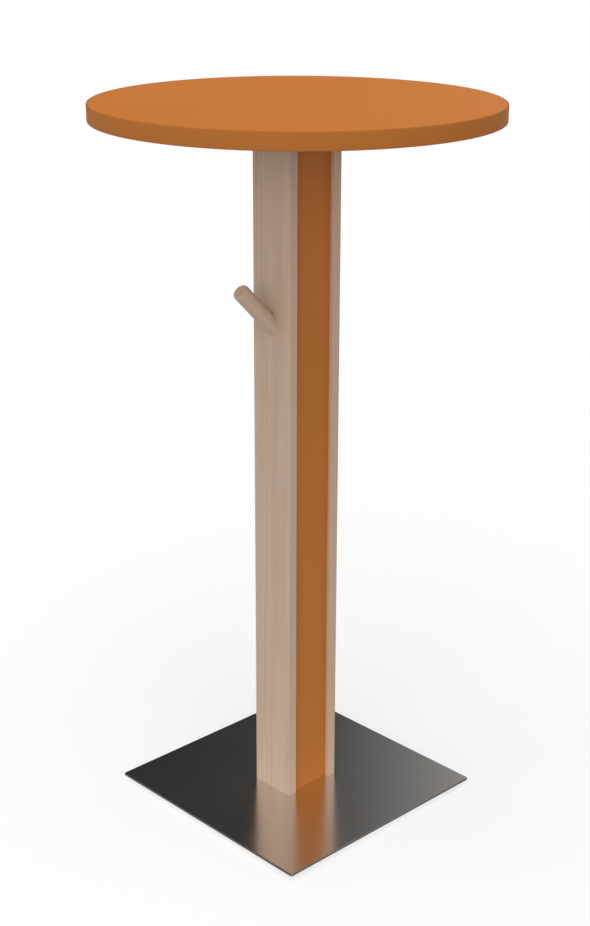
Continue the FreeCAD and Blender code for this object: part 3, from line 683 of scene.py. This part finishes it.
# pressed melamine laminate: an even orange sheet, satin, with the small soft pearls of its press
# plate; it is the same on both faces of the board
laminate, tree = new_finish("orange_melamine_laminate")
place = add(tree, "ShaderNodeTexCoord")["Object"]
pearls = add(tree, "ShaderNodeTexVoronoi", {
    "Vector": place, "Scale": 1 / LAMINATE_PEARL, "Smoothness": 0.6}, feature="SMOOTH_F1")
haze = add(tree, "ShaderNodeTexNoise", {
    "Vector": place, "Scale": 1 / LAMINATE_HAZE, "Detail": 2.0})
colour = add(tree, "ShaderNodeMix", {
    "Factor_Float": haze["Fac"], "A_Color": linear(LAMINATE_COLOURS[0]),
    "B_Color": linear(LAMINATE_COLOURS[1])}, data_type="RGBA")
roughness = add(tree, "ShaderNodeMapRange", {
    "Value": pearls["Distance"], "To Min": 0.55, "To Max": 0.65})
bump = add(tree, "ShaderNodeBump", {
    "Height": pearls["Distance"], "Strength": 0.12, "Distance": PEARL_DEPTH})
shader = add(tree, "ShaderNodeBsdfPrincipled", {
    "Base Color": colour["Result"], "Roughness": roughness, "IOR": 1.5,
    "Specular IOR Level": 0.2, "Normal": bump})
add(tree, "ShaderNodeOutputMaterial", {"Surface": shader})
dress(laminate, "board_backing_sheet")

face_low, face_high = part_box("board_face_sheet")
face_radius = face_high.x - JOINT
fit("face_laminate", turned("face", [
    (0, face_low.z),
    (face_radius, face_low.z),
    (face_radius, face_high.z - FACE_EDGE),
    (face_radius - FACE_EDGE, face_high.z),
    (0, face_high.z)], segments=BOARD_SEGMENTS), laminate, "orange_laminate", "table",
    "board_face_sheet")

# extruded plastic edging: the laminate's own orange, written darker as painted shade of the
# upright rim;
# a touch smoother, with faint lines round the rim from the die
edging, tree = new_finish("orange_plastic_edging")
place = add(tree, "ShaderNodeTexCoord")["Object"]
draw_lines = add(tree, "ShaderNodeMapping", {
    "Vector": place, "Scale": (1 / DRAW_LENGTH, 1 / DRAW_LENGTH, 1 / DRAW_LINE)})
draw_lines = add(tree, "ShaderNodeTexNoise", {
    "Vector": draw_lines, "Scale": 1.0, "Detail": 2.0})
colour = add(tree, "ShaderNodeMix", {
    "Factor_Float": draw_lines["Fac"], "A_Color": linear(EDGING_SHADED_COLOURS[0]),
    "B_Color": linear(EDGING_SHADED_COLOURS[1])}, data_type="RGBA")
roughness = add(tree, "ShaderNodeMapRange", {
    "Value": draw_lines["Fac"], "To Min": 0.48, "To Max": 0.60})
bump = add(tree, "ShaderNodeBump", {
    "Height": draw_lines["Fac"], "Strength": 0.1, "Distance": DRAW_DEPTH})
shader = add(tree, "ShaderNodeBsdfPrincipled", {
    "Base Color": colour["Result"], "Roughness": roughness, "IOR": 1.5,
    "Specular IOR Level": 0.05, "Normal": bump})
add(tree, "ShaderNodeOutputMaterial", {"Surface": shader})

# the tree that runs the edging's section round the rim, with only its outer corners rounded
edging_tree, given = form_tree("edging_round_the_rim", {
    "Rim Radius": "Float", "Thickness": "Float", "Depth": "Float", "Rounding": "Float",
    "Middle": "Vector", "Segments": "Int", "Material": "Material"})
section = add(edging_tree, "GeometryNodeCurvePrimitiveQuadrilateral", {
    "Width": given["Thickness"], "Height": given["Depth"]})
side = add(edging_tree, "ShaderNodeSeparateXYZ", {
    "Vector": add(edging_tree, "GeometryNodeInputPosition")})
outer = add(edging_tree, "ShaderNodeMath", {"Value": side["X"], "Value_001": 0.0},
            operation="GREATER_THAN")
rounding = add(edging_tree, "ShaderNodeMath", {
    "Value": outer, "Value_001": given["Rounding"]}, operation="MULTIPLY")
section = add(edging_tree, "GeometryNodeFilletCurve", {
    "Curve": section, "Count": 6, "Radius": rounding}, mode="POLY")
inset = add(edging_tree, "ShaderNodeMath", {
    "Value": given["Thickness"], "Value_001": -0.5, "Value_002": given["Rim Radius"]},
    operation="MULTIPLY_ADD")
rim_line = add(edging_tree, "GeometryNodeCurvePrimitiveCircle", {
    "Resolution": given["Segments"], "Radius": inset})
strip = add(edging_tree, "GeometryNodeCurveToMesh", {
    "Curve": rim_line, "Profile Curve": section})
strip = add(edging_tree, "GeometryNodeTransform", {
    "Geometry": strip, "Translation": given["Middle"]})
close_tree(edging_tree, strip, given["Material"])

edging_low, edging_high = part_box("board_edge_band")
rim_mesh = grow(edging_tree, {
    "Rim Radius": edging_high.x, "Thickness": EDGING_THICKNESS,
    "Depth": edging_high.z - edging_low.z, "Rounding": EDGING_ROUNDING,
    "Middle": (0, 0, (edging_high.z + edging_low.z) / 2), "Segments": BOARD_SEGMENTS,
    "Material": edging})
fit("rim_edging", rim_mesh, edging, "orange_edging", "table", "board_edge_band")


# ---------------------------------------------------------------- board bolts and washers
# Four M6 button-head socket bolts, with flat washers, come up through the head plate into the
# inserts and hold the board. All are bright zinc plated.
BUTTON_HEAD = 0.00525
BUTTON_CROWN = 0.0028
BUTTON_HEIGHT = 0.0033
BUTTON_RIM = 0.0006
BUTTON_SHANK = 0.003
BUTTON_PLAIN = 0.002        # unthreaded length under the head
BUTTON_SOCKET_DEPTH = 0.0020
CROWN_STEPS = 6
WASHER_BORE = 0.0033
WASHER_EDGE = 0.0002

low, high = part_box("board_bolts")
seat = low.z + BUTTON_HEIGHT
spread_x = high.x - low.x - 2 * BUTTON_HEAD
spread_y = high.y - low.y - 2 * BUTTON_HEAD
levels, groove = thread(
    seat + BUTTON_PLAIN, high.z - CLAMP_TIP, CLAMP_PITCH, CLAMP_THREAD_DEPTH)
turns = [math.pi / 2 * i / CROWN_STEPS for i in range(CROWN_STEPS + 1)]
crown = [(BUTTON_CROWN + (BUTTON_HEAD - BUTTON_CROWN) * math.sin(turn),
          seat - BUTTON_RIM - (BUTTON_HEIGHT - BUTTON_RIM) * math.cos(turn)) for turn in turns]
blank = turned("button_bolt", [
    (0, low.z),
    *crown,
    (BUTTON_HEAD, seat),
    (BUTTON_SHANK, seat),
    *[(BUTTON_SHANK, level) for level in levels],
    (BUTTON_SHANK - CLAMP_TIP, high.z),
    (0, high.z)], segments=32, groove=groove)
bolt_mesh = grow(bolts_tree, {
    "Socket Radius": CLAMP_SOCKET_CORNER, "Socket Place": (0, 0, low.z),
    "Socket Height": 2 * BUTTON_SOCKET_DEPTH, "Spread X": spread_x, "Spread Y": spread_y,
    "Material": zinc_plate}, blank)
fit("board_button_bolts", bolt_mesh, zinc_plate, "plated_steel", "table", "board_bolts")

# the tree that sets four of a piece at the corners of a rectangle
corners_tree, given = form_tree("four_at_corners", {
    "Geometry": "Geometry", "Spread X": "Float", "Spread Y": "Float", "Material": "Material"})
corners = add(corners_tree, "GeometryNodeMeshGrid", {
    "Size X": given["Spread X"], "Size Y": given["Spread Y"], "Vertices X": 2, "Vertices Y": 2})
washers = add(corners_tree, "GeometryNodeInstanceOnPoints", {
    "Points": corners["Mesh"], "Instance": given["Geometry"]})
close_tree(corners_tree, washers, given["Material"])

low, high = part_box("board_washers")
washer_radius = (high.x - low.x - spread_x) / 2
washer = turned("washer", [
    (WASHER_BORE, low.z),
    (washer_radius - WASHER_EDGE, low.z),
    (washer_radius, low.z + WASHER_EDGE),
    (washer_radius, high.z),
    (WASHER_BORE, high.z)], segments=48, ring=True)
washer_mesh = grow(corners_tree, {
    "Spread X": spread_x, "Spread Y": spread_y, "Material": zinc_plate}, washer)
fit("board_flat_washers", washer_mesh, zinc_plate, "plated_steel", "table", "board_washers")


# ---------------------------------------------------------------- floor
# A plain pale studio floor. The camera and mirrored rays see it nearly white. All other light
# meets a pale matt surface, so that it lights the column softly from below. It keeps the shadow.
FLOOR_SIZE = 40.0
FLOOR_COLOUR = "#ADADAD"
BACKDROP_COLOUR = "#FFFFFF"
BACKDROP_GLOW = 1.1

floor_finish, tree = new_finish("matt_studio_floor")
rays = add(tree, "ShaderNodeLightPath")
matt = add(tree, "ShaderNodeBsdfDiffuse", {"Color": linear(FLOOR_COLOUR)})
lit = add(tree, "ShaderNodeBsdfDiffuse", {"Color": linear(BACKDROP_COLOUR)})
glow = add(tree, "ShaderNodeEmission", {
    "Color": linear(BACKDROP_COLOUR), "Strength": BACKDROP_GLOW})
backdrop = add(tree, "ShaderNodeMixShader", {"Fac": 0.5, "Shader": lit, "Shader_001": glow})
mirrored = add(tree, "ShaderNodeMath", {
    "Value": rays["Is Glossy Ray"], "Value_001": rays["Is Transmission Ray"]},
    operation="MAXIMUM")
plain = add(tree, "ShaderNodeMath", {
    "Value": rays["Is Camera Ray"], "Value_001": mirrored}, operation="MAXIMUM")
seen = add(tree, "ShaderNodeMixShader", {
    "Fac": plain, "Shader": matt, "Shader_001": backdrop})
# from below, the camera looks through it
clear = add(tree, "ShaderNodeBsdfTransparent")
underside = add(tree, "ShaderNodeNewGeometry")["Backfacing"]
below = add(tree, "ShaderNodeMath", {"Value": rays["Is Camera Ray"], "Value_001": underside},
            operation="MULTIPLY")
shown = add(tree, "ShaderNodeMixShader", {
    "Fac": below, "Shader": seen, "Shader_001": clear})
add(tree, "ShaderNodeOutputMaterial", {"Surface": shown})

plane = bmesh.new()
bmesh.ops.create_grid(plane, x_segments=8, y_segments=8, size=FLOOR_SIZE / 2)
floor_mesh = bpy.data.meshes.new("studio_floor")
plane.to_mesh(floor_mesh)
plane.free()
floor_mesh.materials.append(floor_finish)
floor = bpy.data.objects.new("studio_floor", floor_mesh)
scene.collection.objects.link(floor)


# ---------------------------------------------------------------- light
# A soft lamp overhead, a wide one at the left front, three weaker ones round the sides, and a
# dim even dome. Only the camera sees white all round. Reflections show a dim studio, lighter on
# its right.
DOME = 0.30
THROWN = 1.55               # what the plate throws up on the column
STUDIO_RIGHT = (0.721, -0.693, 0.0)
WALLS = (0.027, 0.53)       # the studio's left and right, as mirrored
WALL_EDGES = (-0.005, 0.2)  # between which the left passes into the right
CEILING = 0.35
CEILING_EDGES = (0.65, 0.9)


def soft_lamp(name, strength, source, spread):
    """A far lamp that shines from all directions within the spread about its source's. Nothing
    mirrors it, so that the plate shows the studio alone."""
    light = bpy.data.lights.new(name, "SUN")
    light.energy = strength
    light.angle = math.radians(spread)
    lamp = bpy.data.objects.new(name, light)
    lamp.matrix_world = Vector(source).to_track_quat("Z", "Y").to_matrix().to_4x4()
    lamp.visible_glossy = False
    scene.collection.objects.link(lamp)


soft_lamp("soft_overhead_lamp", 1.38, (-0.27, -0.11, 0.95), 60)
soft_lamp("wide_front_lamp", 1.8, (-0.69, -0.72, 0.0), 90)
soft_lamp("left_side_lamp", 0.5, (-0.9, -0.42, 0.1), 40)
soft_lamp("left_rear_lamp", 0.9, (-0.28, 0.95, 0.0), 50)
soft_lamp("right_side_lamp", 0.6, (0.96, -0.25, 0.0), 50)

world = bpy.data.worlds.new("studio")
world.use_nodes = True
tree = world.node_tree
tree.nodes.clear()
world.cycles.sampling_method = "NONE"
scene.world = world
rays = add(tree, "ShaderNodeLightPath")
way = add(tree, "ShaderNodeTexCoord")["Generated"]
rightward = add(tree, "ShaderNodeVectorMath", {
    "Vector": way, "Vector_001": STUDIO_RIGHT}, operation="DOT_PRODUCT")
wall = add(tree, "ShaderNodeMapRange", {
    "Value": rightward["Value"], "From Min": WALL_EDGES[0], "From Max": WALL_EDGES[1],
    "To Min": WALLS[0], "To Max": WALLS[1]}, interpolation_type="SMOOTHSTEP")
height = add(tree, "ShaderNodeSeparateXYZ", {"Vector": way})
ceiling = add(tree, "ShaderNodeMapRange", {
    "Value": height["Z"], "From Min": CEILING_EDGES[0], "From Max": CEILING_EDGES[1],
    "To Min": 0.0, "To Max": CEILING}, interpolation_type="SMOOTHSTEP")
studio = add(tree, "ShaderNodeMath", {
    "Value": wall, "Value_001": ceiling}, operation="ADD")
first = add(tree, "ShaderNodeMath", {"Value": rays["Diffuse Depth"], "Value_001": 0.5},
            operation="LESS_THAN")
mirrored = add(tree, "ShaderNodeMix", {
    "Factor_Float": first, "A_Float": THROWN, "B_Float": studio}, data_type="FLOAT")
strength = add(tree, "ShaderNodeMix", {
    "Factor_Float": rays["Is Glossy Ray"], "A_Float": DOME, "B_Float": mirrored["Result"]},
    data_type="FLOAT")
plain = add(tree, "ShaderNodeMath", {
    "Value": rays["Is Camera Ray"], "Value_001": rays["Is Transmission Ray"]},
    operation="MAXIMUM")
strength = add(tree, "ShaderNodeMix", {
    "Factor_Float": plain, "A_Float": strength["Result"], "B_Float": 1.0}, data_type="FLOAT")
around = add(tree, "ShaderNodeBackground", {
    "Color": linear(BACKDROP_COLOUR), "Strength": strength["Result"]})
add(tree, "ShaderNodeOutputWorld", {"Surface": around})
scene.view_settings.view_transform = "Standard"


# ---------------------------------------------------------------- camera
# The view is from the front left, a little above the board, at about two and a half metres. The
# whole table is in it, upright.
CAMERA_TURN = -0.7640
CAMERA_RISE = 0.3491
CAMERA_DISTANCE = 2.4778
CAMERA_ROLL = 0.0024
CAMERA_TARGET = Vector((-0.0031, 0.0, 0.5618))
CAMERA_SENSOR = 36.0        # along the long side
CAMERA_LENS = 62.93

back = Vector((math.sin(CAMERA_TURN) * math.cos(CAMERA_RISE),
               -math.cos(CAMERA_TURN) * math.cos(CAMERA_RISE), math.sin(CAMERA_RISE)))
right = Vector((0, 0, 1)).cross(back).normalized()
up = back.cross(right)
cosine, sine = math.cos(CAMERA_ROLL), math.sin(CAMERA_ROLL)
right, up = right * cosine + up * sine, up * cosine - right * sine
camera_data = bpy.data.cameras.new("camera")
camera_data.sensor_width = CAMERA_SENSOR
camera_data.lens = CAMERA_LENS
camera = bpy.data.objects.new("camera", camera_data)
place = CAMERA_TARGET + back * CAMERA_DISTANCE
camera.matrix_world = Matrix((
    (right.x, up.x, back.x, place.x),
    (right.y, up.y, back.y, place.y),
    (right.z, up.z, back.z, place.z),
    (0, 0, 0, 1)))
scene.collection.objects.link(camera)
scene.camera = camera
